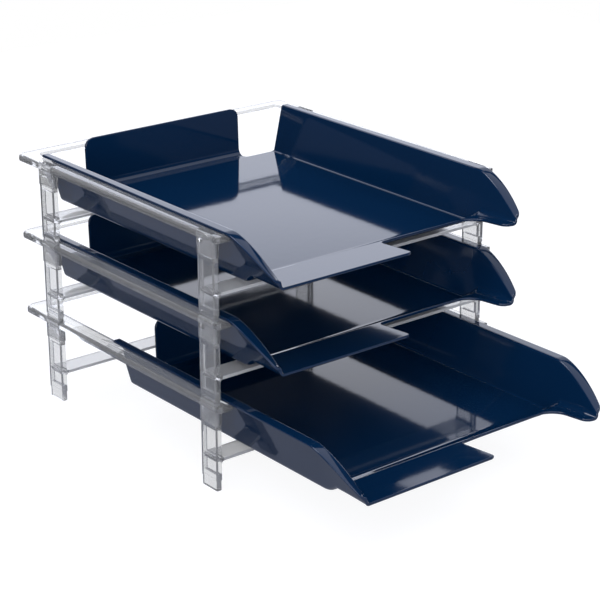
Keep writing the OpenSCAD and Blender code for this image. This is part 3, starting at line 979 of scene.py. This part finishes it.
@dataclass
class Studio:
    """Pale floor, soft lamps, white surroundings and the camera."""

    camera_place: tuple[float, float, float] = (-0.9068, -1.1207, 0.6547)
    camera_pitch: float = math.radians(90 - 20.98)
    camera_turn: float = math.radians(-39.03)
    lens: float = 113.97
    shift: tuple[float, float] = (-0.0153, 0.0099)
    floor_size: float = 2.6
    floor_white: float = 0.18
    floor_seen: float = 0.90
    floor_mirrored: float = 0.40
    mirrored_tint: tuple[float, float, float] = (0.80, 0.84, 1.0)
    floor_through: float = 0.80
    floor_bounced: float = 0.0
    floor_fade: tuple[float, float] = (0.45, 0.75)
    sky_light: float = 0.60
    sky_mirrored: float = 0.03
    sky_through: float = 1.0
    sky_bounced: float = 0.30
    lamps: tuple[Softbox, ...] = (
        Softbox("overhead_softbox", (0.2, -0.3, 1.9), (0.2, -0.3, 0.1), 3.0, 2.0, 1.1, COOL),
        Softbox("key_softbox", (-0.5, 0.3, 1.85), (-0.3, 0.1, 0.1), 0.6, 0.6, 7.0, COOL),
        Softbox("rear_softbox", (1.64, 2.02, 1.15), (0.0, 0.0, 0.15), 4.2, 2.2, 1.95, COOL, top_level=0.5),
        Softbox("front_softbox", (-1.5, -1.7, 1.1), (0.0, 0.0, 0.1), 1.8, 1.6, 2.8, COOL),
        Softbox("left_softbox", (-2.2, -0.5, 0.5), (0.1, 0.0, 0.12), 1.2, 0.7, 5.0, COOL),
        Softbox("low_softbox", (-0.4, -2.4, 0.35), (0.0, 0.0, 0.12), 1.4, 0.6, 5.0, COOL),
        Softbox("fillet_softbox", (0.1, 2.0, 1.95), (0.1, 0.0, 0.15), 0.9, 0.6, 2.2, COOL),
    )

    def _camera(self) -> None:
        """Set up the camera at the photograph's angle."""
        data = bpy.data.cameras.new("studio_camera")
        data.sensor_width = 36.0
        data.lens = self.lens
        data.shift_x, data.shift_y = self.shift
        data.clip_end = 50.0
        cam = bpy.data.objects.new("studio_camera", data)
        cam.location = self.camera_place
        cam.rotation_euler = (self.camera_pitch, 0.0, self.camera_turn)
        bpy.context.scene.collection.objects.link(cam)
        bpy.context.scene.camera = cam

    @staticmethod
    def _by_ray(canvas: NodeCanvas, seen: float, mirrored: float, through: float, bounced: float,
                else_: float) -> bpy.types.NodeSocket:
        """Strength that depends on the kind of ray.

        Args:
            canvas: node tree that gets the nodes.
            seen: strength for what the camera sees directly.
            mirrored: strength for what gloss mirrors.
            through: strength for what shows straight through clear plastic.
            bounced: strength for what shows through clear plastic after a mirrored bounce.
            else_: strength as light on the object.

        Returns:
            The socket with the strength.
        """
        path = canvas.add("ShaderNodeLightPath")
        clear = canvas.add("ShaderNodeMix", data_type="FLOAT", in_A=through, in_B=bounced)
        canvas.link(path.outputs["Glossy Depth"], clear.inputs["Factor"])
        value = None
        levels = {"Is Glossy Ray": mirrored, "Is Transmission Ray": through, "Is Camera Ray": seen}
        for ray, level in levels.items():
            pick = canvas.add("ShaderNodeMix", data_type="FLOAT", in_A=else_, in_B=level)
            canvas.link(path.outputs[ray], pick.inputs["Factor"])
            if ray == "Is Transmission Ray":
                canvas.link(clear.outputs["Result"], pick.inputs["B"])
            if value is not None:
                canvas.link(value, pick.inputs["A"])
            value = pick.outputs["Result"]
        return value

    def _floor_finish(self) -> bpy.types.Material:
        """White floor that reads as white surroundings and still takes the shadow.

        Returns:
            The floor's material.
        """
        mat = bpy.data.materials.new("studio_white")
        mat.use_nodes = True
        canvas = NodeCanvas(mat.node_tree)
        matt = canvas.add("ShaderNodeBsdfDiffuse", in_Color=(*(self.floor_white * c for c in COOL), 1.0))
        glow = canvas.add("ShaderNodeEmission")
        levels = (self.floor_seen, self.floor_mirrored, self.floor_through, self.floor_bounced, 0.0)
        canvas.link(self._by_ray(canvas, *levels), glow.inputs["Strength"])
        path = canvas.add("ShaderNodeLightPath")
        tint = canvas.add("ShaderNodeMix", data_type="RGBA")
        tint.inputs["A"].default_value = (1.0, 1.0, 1.0, 1.0)
        tint.inputs["B"].default_value = (*self.mirrored_tint, 1.0)
        canvas.link(path.outputs["Glossy Depth"], tint.inputs["Factor"])
        canvas.link(tint.outputs["Result"], glow.inputs["Color"])
        both = canvas.add("ShaderNodeAddShader")
        canvas.link(matt.outputs["BSDF"], both.inputs[0])
        canvas.link(glow.outputs["Emission"], both.inputs[1])
        fade = canvas.add("ShaderNodeMixShader")
        canvas.link(self._far_mirrored(canvas), fade.inputs["Fac"])
        canvas.link(both.outputs["Shader"], fade.inputs[1])
        out = canvas.add("ShaderNodeOutputMaterial")
        canvas.link(fade.outputs["Shader"], out.inputs["Surface"])
        return mat

    def _far_mirrored(self, canvas: NodeCanvas) -> bpy.types.NodeSocket:
        """How far the floor has faded to dark, where gloss mirrors it away from the object.

        Args:
            canvas: node tree that gets the nodes.

        Returns:
            The socket with the share of dark.
        """
        place = canvas.add("ShaderNodeTexCoord")
        away = canvas.add("ShaderNodeVectorMath", operation="LENGTH")
        canvas.link(place.outputs["Object"], away.inputs[0])
        near, far = self.floor_fade
        share = canvas.add("ShaderNodeMapRange", in_From_Min=near, in_From_Max=far)
        canvas.link(away.outputs["Value"], share.inputs["Value"])
        path = canvas.add("ShaderNodeLightPath")
        both = canvas.add("ShaderNodeMath", operation="MULTIPLY", use_clamp=True)
        canvas.link(share.outputs["Result"], both.inputs[0])
        canvas.link(path.outputs["Glossy Depth"], both.inputs[1])
        return both.outputs["Value"]

    def _floor(self) -> None:
        """Lay the floor under the feet."""
        half = self.floor_size / 2
        mesh = bpy.data.meshes.new("studio_floor")
        corners = [(-half, -half, 0), (half, -half, 0), (half, half, 0), (-half, half, 0)]
        mesh.from_pydata(corners, [], [(0, 1, 2, 3)])
        floor = bpy.data.objects.new("studio_floor", mesh)
        floor.location.z = -0.05 * MM
        mesh.materials.append(self._floor_finish())
        bpy.context.scene.collection.objects.link(floor)

    def _sky(self) -> None:
        """Surroundings: white where they are seen, dim beside the lamps where gloss mirrors them."""
        world = bpy.data.worlds.new("studio_surroundings")
        world.use_nodes = True
        bpy.context.scene.world = world
        canvas = NodeCanvas(world.node_tree)
        sky = canvas.add("ShaderNodeBackground", in_Color=(1.0, 1.0, 1.0, 1.0))
        levels = (1.0, self.sky_mirrored, self.sky_through, self.sky_bounced, self.sky_light)
        canvas.link(self._by_ray(canvas, *levels), sky.inputs["Strength"])
        out = canvas.add("ShaderNodeOutputWorld")
        canvas.link(sky.outputs["Background"], out.inputs["Surface"])

    def build(self) -> None:
        """Set up camera, floor, surroundings and lamps."""
        bpy.context.scene.view_settings.view_transform = "Standard"
        self._camera()
        self._floor()
        self._sky()
        for lamp in self.lamps:
            lamp.build()
        log.info("studio: %d lamps", len(self.lamps))


@dataclass
class LetterTray:
    """The whole stack: three tiers of clear frame, each with its tray."""

    bottom_pull: float = 96.5

    def build(self) -> None:
        """Build every piece, from the desk up."""
        navy = NavyPlastic().material()
        satin = NavyPlastic("navy_satin_underside", polish_low=0.40, polish_high=0.55, ripple_scale=900.0,
                            ripple_depth=0.05).material()
        clear = ClearStyrene().material()
        milky = ClearStyrene("clear_plastic_bars", clarity=0.62).material()
        for tier in Tier:
            for piece in FramePiece:
                ClearMoulding(piece, tier, clear, milky).build()
            pull = self.bottom_pull if tier is Tier.BOTTOM else 0.0
            Tray(tier, navy, satin, pull=pull).build()


def main() -> None:
    """Build the studio and the letter tray."""
    logging.basicConfig(level=logging.INFO, format="%(name)s: %(message)s")
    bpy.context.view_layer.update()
    Studio().build()
    LetterTray().build()


if __name__ == "__main__":
    main()
